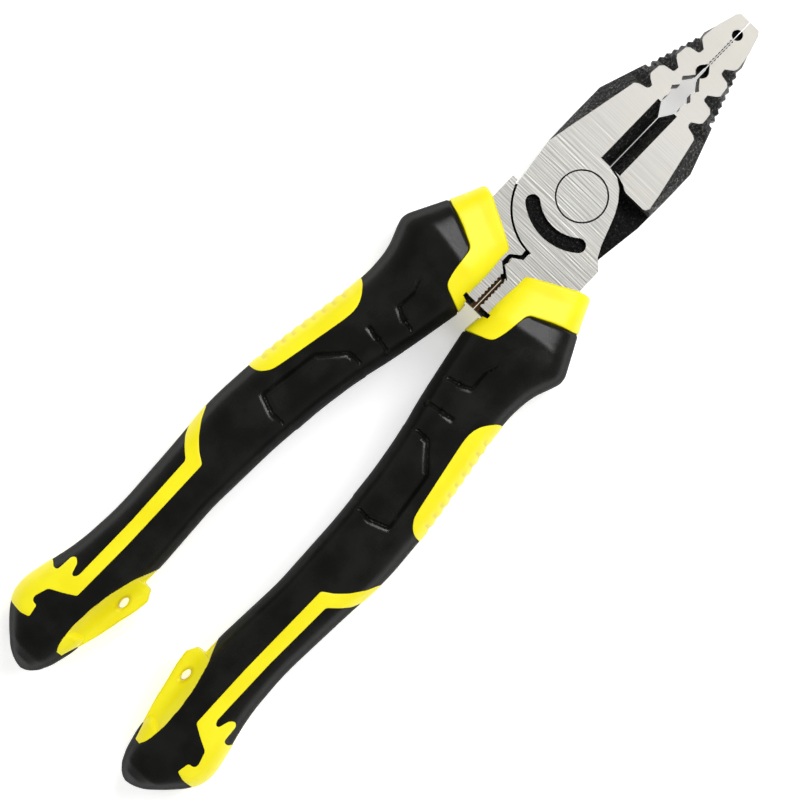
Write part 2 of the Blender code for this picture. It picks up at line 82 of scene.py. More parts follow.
class Paint:
    # a material, and the nodes that are added to it
    def __init__(self, name, **fixed):
        self.material = bpy.data.materials.new(name)
        self.material.use_nodes = True
        self.tree = self.material.node_tree
        self.shader = self.tree.nodes["Principled BSDF"]
        for socket, value in fixed.items():
            self.shader.inputs[socket.replace("_", " ")].default_value = value

    def add(self, kind, settings=None, inputs=None, out=0):
        node = self.tree.nodes.new("ShaderNode" + kind)
        for key, value in (settings or {}).items():
            setattr(node, key, value)
        for key, value in (inputs or {}).items():
            self.feed(node.inputs[key], value)
        return Wire(self, node.outputs[out])

    def feed(self, socket, value):
        if isinstance(value, Wire):
            self.tree.links.new(value.socket, socket)
        else:
            socket.default_value = value

    def math(self, operation, first, second=0.0):
        return self.add("Math", {"operation": operation}, {0: first, 1: second})

    def place(self, scale=(1, 1, 1)):
        # millimetres about the pivot, stretched by scale
        spot = self.add("TexCoord", out="Object")
        size = [1000 * s for s in scale]
        shift = [-p * s for p, s in zip(pivot, scale)]
        return self.add("Mapping", {}, {"Vector": spot, "Scale": size, "Location": shift})

    def split(self, vector):
        node = self.add("SeparateXYZ", {}, {0: vector}).socket.node
        return [Wire(self, socket) for socket in node.outputs]

    def noise(self, vector, scale, detail=3.0, rough=0.5):
        return self.add("TexNoise", {}, {"Vector": vector, "Scale": scale, "Detail": detail,
                                         "Roughness": rough})

    def step(self, value, start, end):
        # 0 at start, 1 at end and a smooth change between
        return self.add("MapRange", {"interpolation_type": "SMOOTHSTEP"},
                        {"Value": value, "From Min": start, "From Max": end})

    def span(self, value, low, high, start, end):
        return self.add("MapRange", {}, {"Value": value, "From Min": low, "From Max": high,
                                         "To Min": start, "To Max": end})

    def mix(self, first, second, mask):
        colours = [c if isinstance(c, Wire) else (*c, 1.0) for c in (first, second)]
        inputs = {0: mask, 6: colours[0], 7: colours[1]}
        return self.add("Mix", {"data_type": "RGBA"}, inputs, out=2)

    def attribute(self, name):
        return self.add("Attribute", {"attribute_name": name}, out="Fac")

    def facing(self):
        # 1 on level faces, 0 on upright ones
        return abs(self.split(self.add("NewGeometry", out="Normal"))[2])

    def finish(self, colour, roughness, height=None, depth=0.0, metallic=None, strength=1.0):
        # depth is the height's in millimetres
        self.feed(self.shader.inputs["Base Color"], colour)
        self.feed(self.shader.inputs["Roughness"], roughness)
        if metallic is not None:
            self.feed(self.shader.inputs["Metallic"], metallic)
        if height is not None:
            bump = self.add("Bump", {}, {"Strength": strength, "Distance": depth * 0.001,
                                         "Height": height})
            self.feed(self.shader.inputs["Normal"], bump)
        return self.material


groundSteel = {
    "level": (6.72, 6.86),             # the ground faces are above this height
    "facing": (0.86, 0.97),
    "wheel": (10.5, 14.0),             # a pass of the wheel about every 0.6 mm, and its drift
    "joint": (0.0, 14.0),              # finer work over these two spans of x
    "jaws": (14.0, 32.0),
    "nose": (22.0, 55.0),
    "calmGrind": 0.6,
    "grindShades": ((0.375, 0.37, 0.355), (0.55, 0.54, 0.515)),
    "warmShade": (0.50, 0.475, 0.43),
    # painted shade towards the nose over the nose span, which tones down the nose lamp's highlight
    # there
    "nosePaintedShade": (0.39, 0.375, 0.34),
    "grindRoughness": (0.49, 0.43),
    # the forged black, then the painted glints on it
    "forgedBlackAndPaintedGlint": ((0.004, 0.004, 0.004), (0.26, 0.245, 0.22)),
    "forgedRoughness": (0.55, 0.28),
    "recessFacing": (0.9, 0.98),
    # painted shadow on the level faces of the recesses below the ground faces
    "recessPaintedShadow": (0.003, 0.003, 0.003),
    "rustShades": ((0.05, 0.022, 0.010), (0.22, 0.10, 0.035)),
    "rustSides": (1.35, 1.0),          # the rust's box: half width, rear and front
    "rustRear": (-37.6, -37.2),
    "rustFront": (-26.6, -27.8),
    "metallic": (0.94, 0.02),          # on the ground faces, and added everywhere
    "depth": 1.1,
}


def groundSteelPaint():
    # bright ground faces with grinding lines across the tool, black forged skin below them; painted
    # glints on the forged skin, painted shadow in the recesses and painted shade towards the nose
    look, paint = groundSteel, Paint("groundSteel", Specular_IOR_Level=0.3)
    x, y, z = paint.split(paint.place())
    facing = paint.facing()
    ground = paint.step(abs(z), *look["level"]) * paint.step(facing, *look["facing"])
    wide = paint.noise(paint.place((1.0, 0.03, 1.0)), 0.7, 1.0)
    fine = paint.noise(paint.place((1.0, 0.02, 1.0)), 2.2, 2.0, 0.6)
    drift = paint.noise(paint.place((0.25, 0.02, 1.0)), 1.0, 1.0)
    rate, sway = look["wheel"]
    wheel = paint.math("SINE", x * rate + drift * sway) * 0.5 + 0.5
    grind = paint.span(wide * 0.25 + fine * 0.45 + wheel * 0.3, 0.30, 0.70, 0.0, 1.0)
    calm = paint.step(x, *look["joint"]) * 0.55 + paint.step(x, *look["jaws"]) * 0.25
    grind = grind * (1 - calm) + calm * look["calmGrind"]
    cloud = paint.noise(paint.place(), 0.16, 2.0)
    warm = paint.step(cloud, 0.45, 0.75) * 0.35 + calm * 0.35
    bright = paint.mix(paint.mix(*look["grindShades"], grind), look["warmShade"], warm)
    # painted shade: the ground faces darken towards the nose, against the nose lamp's highlight
    bright = paint.mix(bright, look["nosePaintedShade"], paint.step(x, *look["nose"]) * 0.7)
    scale = paint.noise(paint.place(), 1.7, 5.0, 0.68)
    pits = paint.add("TexVoronoi", {"feature": "F1"}, {"Vector": paint.place(), "Scale": 0.95},
                     out="Distance")
    recess = paint.step(facing, *look["recessFacing"]) * (1 - ground)
    # painted glints: bright specks on the forged black where the scale noise is high
    black = paint.mix(*look["forgedBlackAndPaintedGlint"], paint.step(scale, 0.53, 0.72))
    # painted shadow in the recesses
    black = paint.mix(black, look["recessPaintedShadow"], recess * 0.75)
    rust = (paint.step(abs(y), *look["rustSides"]) * paint.step(x, *look["rustRear"])
            * paint.step(x, *look["rustFront"]))
    black = paint.mix(black, paint.mix(*look["rustShades"], scale), rust * 0.9)
    dull = paint.span(scale, 0.3, 0.7, *look["forgedRoughness"]) + recess * 0.22
    shine = paint.span(grind, 0.0, 1.0, *look["grindRoughness"])
    height = ground * (1 - calm) * fine * 0.07 + (1 - ground) * (scale * 1.1 + pits * 0.9)
    onGround, everywhere = look["metallic"]
    return paint.finish(paint.mix(black, bright, ground), shine * ground + (1 - ground) * dull,
                        height, look["depth"], ground * onGround + everywhere, 0.9)


yellowPlastic = {
    "shades": ((0.85, 0.745, 0.005), (0.885, 0.80, 0.010)),
    # painted shade in the pad's rib notches and round the tab's hole, and how much of it
    "paintedShadeColour": (0.60, 0.44, 0.004),
    "paintedShadeShare": 0.55,
    "roughness": (0.36, 0.46),
    "depth": 0.03,
}


def yellowPaint():
    # satin moulded plastic: a faint cloud in the colour, a fine orange-peel skin, and painted shade
    # where each point's number asks for it
    look, paint = yellowPlastic, Paint("yellowPlastic", Specular_IOR_Level=0.32)
    cloud = paint.noise(paint.place(), 0.09, 2.0)
    peel = paint.noise(paint.place(), 3.2, 3.0)
    colour = paint.mix(*look["shades"], paint.step(cloud, 0.35, 0.65))
    # painted shade, as much as each point's number asks
    colour = paint.mix(colour, look["paintedShadeColour"],
                       paint.attribute("paintedShade") * look["paintedShadeShare"])
    roughness = paint.span(peel, 0.3, 0.7, *look["roughness"])
    return paint.finish(colour, roughness, peel, look["depth"])


blackRubber = {
    "shades": ((0.0042, 0.0042, 0.0036), (0.0082, 0.0082, 0.0070)),
    "roughness": (0.23, 0.30),
    "sideFacing": (0.8, 0.3),
    "sideRoughness": 0.5,
    "polishRoughness": -0.13,
    "depth": 0.02,
}


def blackPaint():
    # satin rubber with a fine moulded grain and a few rubbed patches
    look, paint = blackRubber, Paint("blackRubber", Specular_IOR_Level=0.2)
    grain = paint.noise(paint.place(), 5.5, 3.0, 0.6)
    patch = paint.noise(paint.place(), 0.12, 3.0)
    colour = paint.mix(*look["shades"], paint.step(patch, 0.35, 0.7))
    side = paint.step(paint.facing(), *look["sideFacing"])
    roughness = (paint.span(patch, 0.3, 0.7, *look["roughness"]) + side * look["sideRoughness"]
                 + paint.attribute("polish") * look["polishRoughness"])
    return paint.finish(colour, roughness, grain, look["depth"])


finishes = {"ground_steel": groundSteelPaint(), "yellow_plastic": yellowPaint(),
            "black_rubber": blackPaint()}
print("finishes made:", ", ".join(finishes))


def lookUp(x, table):
    # straight lines between the (x, value) pairs of a table
    return np.interp(x, *np.array(table, float).T)


def softLine(points, x, blur):
    # straight lines through the points, averaged over a window of blur each way so that corners
    # are rounded
    ordered = np.array(sorted(points), float)
    shifts = np.linspace(-1, 1, 9).reshape((9,) + (1,) * np.ndim(x))
    return np.interp(x + blur * shifts, ordered[:, 0], ordered[:, 1]).mean(axis=0)


def eased(points, radius):
    # each inner corner becomes a parabola that starts and ends radius away from it along its two
    # lines, or a little short of half way along a short line
    points = np.array(points, float)
    corner = points[1:-1]
    steps = [points[:-2] - corner, points[2:] - corner]
    starts = [corner + s * np.minimum(radius / np.linalg.norm(s, axis=1, keepdims=True), 0.45)
              for s in steps]
    share = np.linspace(0, 1, 7)[None, :, None]
    curve = ((1 - share) ** 2 * starts[0][:, None] + 2 * share * (1 - share) * corner[:, None]
             + share ** 2 * starts[1][:, None])
    return np.vstack([points[:1], curve.reshape(-1, 2), points[-1:]])


def evenly(path, spacing):
    # the same path with points a set distance apart
    length = np.concatenate([[0], np.cumsum(np.linalg.norm(np.diff(path, axis=0), axis=1))])
    stops = np.linspace(0, length[-1], max(3, int(round(length[-1] / spacing)) + 1))
    return np.stack([np.interp(stops, length, column) for column in path.T], axis=1)


def distanceTo(x, y, path):
    # distance from each point to the nearest part of an open path
    best = np.full(np.shape(x), 1e9)
    for (ax, ay), (bx, by) in zip(path[:-1], path[1:]):
        dx, dy = bx - ax, by - ay
        share = ((x - ax) * dx + (y - ay) * dy) / max(dx * dx + dy * dy, 1e-12)
        share = np.clip(share, 0, 1)
        best = np.minimum(best, np.hypot(x - ax - share * dx, y - ay - share * dy))
    return best


def depthInside(x, y, loop):
    # distance to a closed loop, positive inside, where a line from the point meets the loop an
    # odd number of times
    inside = np.zeros(np.shape(x), bool)
    for (ax, ay), (bx, by) in zip(loop, np.roll(loop, -1, axis=0)):
        if ay != by:
            inside ^= ((ay > y) != (by > y)) & (x < ax + (bx - ax) * (y - ay) / (by - ay))
    return np.where(inside, 1, -1) * distanceTo(x, y, np.vstack([loop, loop[:1]]))


def smoothRise(value, low, high):
    share = np.clip((value - low) / (high - low), 0, 1)
    return share * share * (3 - 2 * share)


def rimDrop(away, width, drop):
    # a quarter ellipse: drop at the edge itself, nothing from width away onwards
    rim = np.clip(1 - away / width, 0, 1)
    return drop * (1 - np.sqrt(1 - rim ** 2))


def layMesh(name, points, faces, half):
    # points in millimetres about the pivot; the -Y half is mirrored, so its faces run the other way
    points = np.array(points, float)
    points[:, 0] += half["slide"]
    points[:, 1] *= half["side"]
    if half["side"] < 0:
        faces = [face[::-1] for face in faces]
    mesh = bpy.data.meshes.new(name)
    mesh.from_pydata(((points + pivot) / 1000).tolist(), [], faces)
    piece = bpy.data.objects.new(name, mesh)
    bpy.context.scene.collection.objects.link(piece)
    return piece


def gridFaces(rows, columns):
    # quads of a grid whose points are stored row by row, with its last column joined to the first
    r, c = np.meshgrid(np.arange(rows - 1), np.arange(columns), indexing="ij")
    here, beside = r * columns + c, r * columns + (c + 1) % columns
    quads = np.stack([here, here + columns, beside + columns, beside], axis=-1)
    return quads.reshape(-1, 4).tolist()


def capFaces(row, columns, pole, outward):
    # a fan from the pole to one row
    ring = row * columns + np.arange(columns)
    pairs = np.stack([ring, np.roll(ring, -1), np.full(columns, pole)], axis=1)
    return (pairs if outward else pairs[:, ::-1]).tolist()


def closedGrid(name, rows, half):
    # a grid of points (rows, columns, 3), wrapped round and closed at both ends by a pole
    count, columns = rows.shape[:2]
    points = np.vstack([rows.reshape(-1, 3), rows[0].mean(axis=0), rows[-1].mean(axis=0)])
    faces = gridFaces(count, columns)
    faces += capFaces(0, columns, count * columns, True)
    faces += capFaces(count - 1, columns, count * columns + 1, False)
    return layMesh(name, points, faces, half)


def slab(name, outline, halfHeight, half):
    # a flat outline carried straight up, the same distance above and below the middle
    outline = np.array(outline, float)
    count = len(outline)
    x, y = outline.T
    area = np.sum(x * np.roll(y, -1) - np.roll(x, -1) * y)
    outline = outline if area > 0 else outline[::-1]
    points = np.vstack([np.c_[outline, np.full(count, z)] for z in (-halfHeight, halfHeight)])
    around = np.arange(count)
    beside = (around + 1) % count
    sides = np.stack([around, beside, beside + count, around + count], axis=1).tolist()
    return layMesh(name, points, sides + [around[::-1].tolist(), (around + count).tolist()], half)


def markPoints(piece, name, amount):
    # a number for each point that a finish reads: painted shade in the pad's rib notches and round
    # the tab's hole, polish where the mould was smooth
    values = piece.data.attributes.new(name, "FLOAT", "POINT").data
    values.foreach_set("value", np.clip(amount, 0, 1))


def bake(piece):
    # applies the piece's modifiers
    bpy.context.view_layer.update()
    shaped = piece.evaluated_get(bpy.context.evaluated_depsgraph_get())
    mesh = bpy.data.meshes.new_from_object(shaped)
    piece.modifiers.clear()
    piece.data = mesh
    mesh.name = piece.name


def combine(piece, operation, others):
    # cuts the others from the piece, or joins them to it
    for other in others:
        change = piece.modifiers.new("combine", "BOOLEAN")
        change.operation, change.solver, change.object = operation, "EXACT", other
        bake(piece)
        bpy.data.objects.remove(other)


def present(piece, body, slot, nodes):
    # gives the piece its finish and its body, and hides the imported nodes that it stands for
    mesh = piece.data
    mesh.materials.clear()
    mesh.materials.append(finishes[slot])
    mesh.shade_smooth()
    mesh.set_sharp_from_angle(angle=np.radians(sharpAngle))
    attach(piece, body)
    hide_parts(*nodes)


grip = {
    "outer": [(-15.2, 18.2), (-23.3, 22.1), (-33.4, 27.3), (-35.4, 26.8), (-41, 24.6), (-45, 24.0),
              (-51, 23.9), (-60, 25.4), (-80, 28.6), (-97, 29.8), (-110, 28.8), (-130, 27.8),
              (-143, 28.7), (-156, 31.9), (-160, 32.5), (-164.2, 31.0), (-168, 27.7), (-172, 23.5),
              (-173, 22.0), (-173.7, 20.5), (-174.1, 19.2), (-174.2, 18.3)],
    "inner": [(-21.5, 2.0), (-35, 2.5), (-37.3, 2.2), (-41, 1.8), (-50, 3.5), (-60, 5.5),
              (-70, 8.0), (-80, 9.6), (-95, 11.0), (-115, 11.8), (-133.5, 10.8), (-150, 10.9),
              (-163, 11.8), (-168.5, 13.2), (-171.5, 14.6), (-173, 15.9), (-173.8, 17.0),
              (-174.2, 18.1)],
    "halfThickness": [(-15, 8.4), (-22, 8.8), (-31.2, 11.2), (-37, 11.2), (-50, 10.3), (-80, 9.8),
                      (-105, 10.0), (-130, 9.6), (-150, 9.9), (-163, 9.6), (-169.5, 8.0),
                      (-172, 6.0), (-173.2, 4.2), (-173.9, 2.5), (-174.2, 0.9)],
    "outerBlur": [(-174.2, 0.02), (-173, 0.5), (-168, 1.6), (-150, 4.5), (-52, 4.5), (-40, 1.5),
                  (-33, 1.6), (-24, 0.5)],
    "innerBlur": 0.6,        # of the outer one
    "thicknessBlur": [(-174.2, 0.1), (-60, 3), (-40, 0.6)],
    "power": [(-60, 2.7), (-30, 3.6)],
    "fullness": 0.3,
    "guard": -21.5,          # station of the front face
    "butt": -174.2,
    "slant": 6.3,            # how far the outer end of the front face is ahead of its inner end
    "square": -55.0,         # behind this the sections are square to the x axis
    "mapRadius": 10.5,       # turns are multiplied by this to make a flat map of the skin
}


def gripSlant(station):
    share = (station - grip["square"]) / (grip["guard"] - grip["square"])
    return grip["slant"] * np.clip(share, 0, None)


def gripEdges(station):
    # the section's two ends in plan, as (inner x, inner y, outer x, outer y)
    innerX, outerX = station, station + gripSlant(station)
    innerBlur = lookUp(innerX, grip["outerBlur"]) * grip["innerBlur"]
    outerY = softLine(grip["outer"], outerX, lookUp(outerX, grip["outerBlur"])) + grip["fullness"]
    return innerX, softLine(grip["inner"], innerX, innerBlur), outerX, outerY


def gripPoints(station, turn):
    # skin of the grip: |across|^n + |up|^n = 1 at each station, with turn as the angle round the
    # section, 0 at the outer edge and pi at the inner edge
    innerX, innerY, outerX, outerY = gripEdges(station)
    middleX, middleY = (innerX + outerX) / 2, (innerY + outerY) / 2
    thick = softLine(grip["halfThickness"], middleX, lookUp(station, grip["thicknessBlur"]))
    power = lookUp(station, grip["power"])
    across, up = np.cos(turn), np.sin(turn)
    reach = (np.abs(across) ** power + np.abs(up) ** power) ** (-1 / power)
    x = middleX + across * reach * (outerX - innerX) / 2
    y = middleY + across * reach * (outerY - innerY) / 2
    return np.stack([x, y, thick * up * reach], axis=-1)


def gripLifted(station, turn, lift):
    # the skin moved along its normal, the cross product of its two directions
    station, turn, lift = np.broadcast_arrays(station, turn, lift)
    stationStep, turnStep = 0.05, 0.004
    along = gripPoints(station + stationStep, turn) - gripPoints(station - stationStep, turn)
    around = gripPoints(station, turn + turnStep) - gripPoints(station, turn - turnStep)
    normal = np.cross(around, along)
    normal /= np.linalg.norm(normal, axis=-1, keepdims=True) + 1e-12
    return gripPoints(station, turn) + normal * lift[..., None]


def gripFlat(path):
    # plan points to the flat map (station, turn times the map radius), and which of them are on
    # the grip; the slant makes the station depend on the point's place across, settled in rounds
    x, y = path.T
    station = x.copy()
    for _ in range(5):
        _, innerY, _, outerY = gripEdges(station)
        across = (2 * y - innerY - outerY) / (outerY - innerY)
        station = x - gripSlant(station) * (1 + across) / 2
    power = lookUp(station, grip["power"])
    up = (1 - np.clip(np.abs(across), 0, 1) ** power) ** (1 / power)
    flat = np.stack([station, np.arctan2(up, across) * grip["mapRadius"]], axis=1)
    return flat, np.abs(across) < 1


collar = {
    "rearEdge": [(-22.2, 25), (-23.3, 21.9), (-27.9, 10.9), (-28.9, 10.2), (-34.8, 9.5),
                 (-37.9, 8.7), (-38.9, 7.7), (-41.2, 1.5), (-42.0, -1.0)],
    "ahead": [(-8, -1), (-8, 25)],         # closes the edge line to a loop
    "cornerRadius": 0.9,
    "rows": 40,
    "rowPower": 1.6,                       # crowds the rows towards the rear edge
    "frontRadius": 0.75,
    "faceShares": (0.8, 0.5, 0.2),
    "frontBend": [(3, -0.9), (9, 0.0), (15, 0.8), (18.3, 0.5), (20.5, 0.0)],     # in x for each y
    "bendSpan": (-32, -20),
    "cuts": [                              # room for the lever, each with its half height;
                                           # they stay with the lever when the grip slides
        ([(-35.7, 16.1), (-24, 15.7), (-14.2, 15.5), (-7.7, 15.5), (-7.7, -4), (-35.7, -4)], 7.2),
        ([(-34, -4), (-37.6, -4), (-37.6, 14.6), (-34, 14.6)], 5.8),
        ([(-36.9, -4), (-36.9, 2.3), (-36.4, 4.0), (-35.3, 4.0), (-35.3, -4)], throughHeight),
    ],
}


def makeCollarEdge():
    # station of the collar's rear edge for each turn, found where the plan point crosses its line
    loop = np.vstack([eased(collar["rearEdge"], collar["cornerRadius"]), collar["ahead"]])
    turn = np.linspace(0, np.pi, 500)
    station = np.linspace(-45, -21.6, 420)
    plan = gripPoints(station[:, None], turn[None, :])
    depth = depthInside(plan[..., 0], plan[..., 1], loop)
    first = np.maximum((depth > 0).argmax(axis=0), 1)
    column = np.arange(len(turn))
    before, after = depth[first - 1, column], depth[first, column]
    share = np.clip(-before / (after - before), 0, 1)
    return turn, station[first - 1] + (station[1] - station[0]) * share


collarEdgeTable = makeCollarEdge()


def collarEdge(turn):
    folded = np.pi - np.abs(np.mod(turn, 2 * np.pi) - np.pi)
    return np.interp(folded, *collarEdgeTable)


skin = {
    "columns": 224,
    "rowCount": 428,
    "rowsFrom": -25.0,
    "rowSpacing": [(-174.2, 0.05), (-173, 0.22), (-168, 0.4), (-155, 0.55), (-96, 0.5),
                   (-91, 0.17), (-43, 0.17), (-41, 0.24), (-22, 0.32)],
    "evenStation": -80.0,    # columns are spaced by the section here and by the collar's edge
    "seam": 0.07,            # half the gap between the skin and the collar
    "lipDepths": (1.3, 0.6),
    "lipSetback": 0.02,
    "lipRadius": 0.32,
    "hexGroove": [(-88.8, 13.6), (-88.8, 17.0), (-87.0, 21.7), (-71.8, 19.5), (-65.8, 13.9),
                  (-65.8, 10.3)],
    "firstGroove": [(-59.3, 7.8), (-58.1, 14.6)],
    "secondGroove": [(-51.8, 7.0), (-51.2, 10.0), (-49.8, 13.0), (-45, 12.7), (-41.7, 13.8)],
    "grooveWidth": 0.62,     # half width
    "grooveDepth": 0.85,
    "slopeReach": 1.35,      # how far behind a groove its slope begins
    "slopeFall": 0.27,
    "cornerRadius": 0.35,
    "fadeSpan": (41, 52),    # the second groove fades towards the collar, by this share
    "fadeShare": 0.3,
    "panelBack": [(-66.5, 5), (-89, 5)],
    "panelRim": (0.6, 1.4),
    "panelRise": 0.14,
    "pocketRim": (0.45, 1.0),
    "pocketDepth": 1.0,
}


def columnTurns():
    # columns spaced half by the way round a section and half by the way along the collar's edge
    turn = np.linspace(0, np.pi, 1500)
    mixed = 0
    for station in (collarEdge(turn), np.full_like(turn, skin["evenStation"])):
        lengths = np.linalg.norm(np.diff(gripPoints(station, turn), axis=0), axis=1)
        run = np.concatenate([[0], np.cumsum(lengths)])
        mixed = mixed + run / run[-1]
    upper = np.interp(np.linspace(0, mixed[-1], skin["columns"] // 2 + 1), mixed, turn)
    return np.concatenate([upper, 2 * np.pi - upper[-2:0:-1]])


def seamLip(edge, turn):
    # two rows that turn down into the grip at the seam between the collar and the skin
    return gripLifted(edge, turn, -np.array(skin["lipDepths"])[:, None])


def grooveShape(x, y, line):
    # a V with soft edges and, behind it, a slope that falls towards the groove and looks to the
    # nose; the slope's share is how quickly the groove comes nearer along +X. Gives the depth and
    # where the slope is.
    path = eased(line, skin["cornerRadius"])
    width, reach, nudge = skin["grooveWidth"], skin["slopeReach"], 0.2
    away = distanceTo(x, y, path)
    behind = np.clip((away - distanceTo(x + nudge, y, path)) / nudge, 0, 1)
    slope = skin["slopeFall"] * np.clip(reach - away, 0, None) * behind * smoothRise(away, 0, 0.3)
    cut = skin["grooveDepth"] * (1 - smoothRise(away, 0, width))
    outside = smoothRise(away, width - 0.15, width)
    return cut + slope, behind * outside * (1 - smoothRise(away, reach - 0.1, reach + 0.1))


def skinLift(plan, half):
    # how far each point of the skin stands off the plain shape: grooves, the raised panel and the
    # pockets; and how polished it is
    x, y = plan[..., 0], plan[..., 1]
    depth, polish = np.zeros(x.shape), np.zeros(x.shape)
    fading = smoothRise(-x, *skin["fadeSpan"]) * skin["fadeShare"] + (1 - skin["fadeShare"])
    for line, strength in (("hexGroove", 1), ("firstGroove", 1), ("secondGroove", fading)):
        cut, slope = grooveShape(x, y, skin[line])
        depth, polish = np.maximum(depth, cut * strength), np.maximum(polish, slope * strength)
    panel = np.array(skin["hexGroove"] + skin["panelBack"])
    lift = skin["panelRise"] * smoothRise(depthInside(x, y, panel), *skin["panelRim"]) - depth
    band, hole = [np.vstack([eased(leaned(stripe[key], half), stripe["cornerRadius"]),
                             stripe["beyond"]]) for key in ("outline", "island")]
    inStripe = np.minimum(depthInside(x, y, band), -depthInside(x, y, hole))
    inPad = depthInside(x, y, eased(pad["outline"], pad["cornerRadius"]))
    for inside in (inStripe, inPad):
        lift = lift - skin["pocketDepth"] * smoothRise(inside, *skin["pocketRim"])
    return lift, polish


def rowShares():
    # rows crowd together where the grooves are and at the butt
    place = np.linspace(0, 1, 4000)
    station = skin["rowsFrom"] + place * (grip["butt"] - skin["rowsFrom"])
    count = np.concatenate([[0], np.cumsum((1 / lookUp(station, skin["rowSpacing"]))[:-1])])
    return np.interp(np.linspace(0, count[-1], skin["rowCount"]), count, place)


def makeSkin(half):
    # rows from the collar's edge to the butt; the first rows are a rounded lip that turns inwards
    turn = columnTurns()
    front = collarEdge(turn) - skin["seam"]
    station = front + (grip["butt"] - front) * rowShares()[:, None]
    lift, polish = skinLift(gripPoints(station, turn[None, :]), half)
    lift = lift - rimDrop(front - station, skin["lipRadius"], skin["lipRadius"])
    body = underTab(gripLifted(station, turn, lift))
    lip = seamLip(front - skin["lipSetback"], turn)
    piece = closedGrid("gripSkin" + half["mark"].upper(), np.concatenate([lip, body]), half)
    lipPolish, polePolish = np.zeros(lip[..., 0].size), np.zeros(2)
    markPoints(piece, "polish", np.concatenate([lipPolish, polish.ravel(), polePolish]))
    return piece


inlay = {
    "rimWidth": 0.34,
    "rimDrop": 0.3,
    "insets": (0.12, 0.34),  # rows of points along the rim
    "pathSpacing": 0.03,
    "loopSpacing": 0.4,
    "wall": 1.15,
}


def wrappedLoop(outline, radius):
    # a plan outline that crosses the outer edge twice, as a loop in the flat map that runs on
    # round the underside
    flat, onGrip = gripFlat(evenly(eased(outline, radius), inlay["pathSpacing"]))
    flat = flat[onGrip]
    upper = evenly(np.vstack([[flat[0, 0], 0], flat, [flat[-1, 0], 0]]), inlay["loopSpacing"])
    return np.vstack([upper, upper[-2:0:-1] * (1, -1)])


def mapDepth(points, loops):
    # distance inside the first loop and outside the others, in the flat map
    depth = depthInside(*points.T, loops[0])
    for loop in loops[1:]:
        depth = np.minimum(depth, -depthInside(*points.T, loop))
    return depth


def inlayPoints(loops, spacing):
    # rows of points along both sides of each loop, and a lattice, where they are inside the patch
    found = []
    for loop in loops:
        run = np.roll(loop, -1, axis=0) - np.roll(loop, 1, axis=0)
        across = np.stack([-run[:, 1], run[:, 0]], axis=1)
        across = across / np.linalg.norm(run, axis=1, keepdims=True)
        for inset in inlay["insets"]:
            for sign in (1, -1):
                moved = loop + across * inset * sign
                found.append(moved[mapDepth(moved, loops) > inset * 0.8])
    low, high = loops[0].min(axis=0), loops[0].max(axis=0)
    across, down = np.meshgrid(np.arange(low[0], high[0], spacing),
                               np.arange(low[1], high[1], spacing * 0.87))
    across = across + spacing / 2 * (np.arange(across.shape[0]) % 2)[:, None]
    lattice = np.stack([across.ravel(), down.ravel()], axis=1)
    found.append(lattice[mapDepth(lattice, loops) > inlay["rimWidth"] + spacing * 0.45])
    return np.vstack(found).tolist()


def inlayPatch(name, half, loops, rise, spacing, texture=None):
    # the area between loops in the flat map, triangulated, wrapped onto the grip and raised with
    # a rounded rim
    points, edges = [], []
    for loop in loops:
        first = len(points)
        points += loop.tolist()
        edges += [(first + i, first + (i + 1) % len(loop)) for i in range(len(loop))]
    points += inlayPoints(loops, spacing)
    spots, _, faces, *_ = delaunay_2d_cdt([Vector(p) for p in points], edges, [], 0, 1e-6)
    flat, faces = np.array([tuple(s) for s in spots]), np.array(faces)
    faces = faces[mapDepth(flat[faces].mean(axis=1), loops) > 0]
    depth = np.clip(mapDepth(flat, loops), 0, None)
    lift = rise - rimDrop(depth, inlay["rimWidth"], inlay["rimDrop"])
    station, turn = flat[:, 0], flat[:, 1] / grip["mapRadius"]
    sunk = texture(station, turn, depth) if texture else 0 * turn
    surface = gripLifted(station, turn, lift + sunk)
    piece = layMesh(name, surface, faces[:, ::-1].tolist(), half)
    # painted shade in the sunk rib notches, most where they sink deepest
    markPoints(piece, "paintedShade", (-sunk / pad["ribDepth"]) ** 2)
    wall = piece.modifiers.new("wall", "SOLIDIFY")
    wall.thickness, wall.offset, wall.use_rim = inlay["wall"] / 1000, -1.0, True
    bake(piece)
    return piece


pad = {
    "outline": [(-51.0, 27), (-51.0, 23.7), (-54.0, 21.1), (-56.2, 20.1), (-58.5, 19.8),
                (-61.5, 20.2), (-78.5, 23.5), (-81.5, 24.2), (-83.6, 25.8), (-84.6, 27.6),
                (-84.7, 31)],
    "cornerRadius": 1.6,
    "rise": 0.14,
    "spacing": 0.42,
    "ribPitch": 2.95,
    "ribStart": -54.2,
    "ribEnd": -82.5,
    "ribDepth": 0.38,
    "ribEnding": 0.04,       # share of the ribs' length over which they begin and end
    "ribFade": (0.6, 0.8),   # turns over which the ribs fade towards the faces
    "ribRim": (0.3, 1.5),
}


def padRibs(station, turn, depth):
    # soft ribs over the outer edge, each a raised cosine along the grip
    along = pad["ribStart"] - station
    share = np.clip(along / (pad["ribStart"] - pad["ribEnd"]), 0, 1)
    wave = 0.5 - 0.5 * np.cos(2 * np.pi * along / pad["ribPitch"])
    ending = pad["ribEnding"]
    ends = smoothRise(share, 0.0, ending) * (1 - smoothRise(share, 1.0 - ending, 1.0))
    fade = 1 - smoothRise(np.abs(turn), *pad["ribFade"])
    return -pad["ribDepth"] * (1 - wave ** 0.5) * ends * fade * smoothRise(depth, *pad["ribRim"])


def makePad(half):
    loops = [wrappedLoop(pad["outline"], pad["cornerRadius"])]
    name = "thumbPad" + half["mark"].upper()
    return inlayPatch(name, half, loops, pad["rise"], pad["spacing"], padRibs)


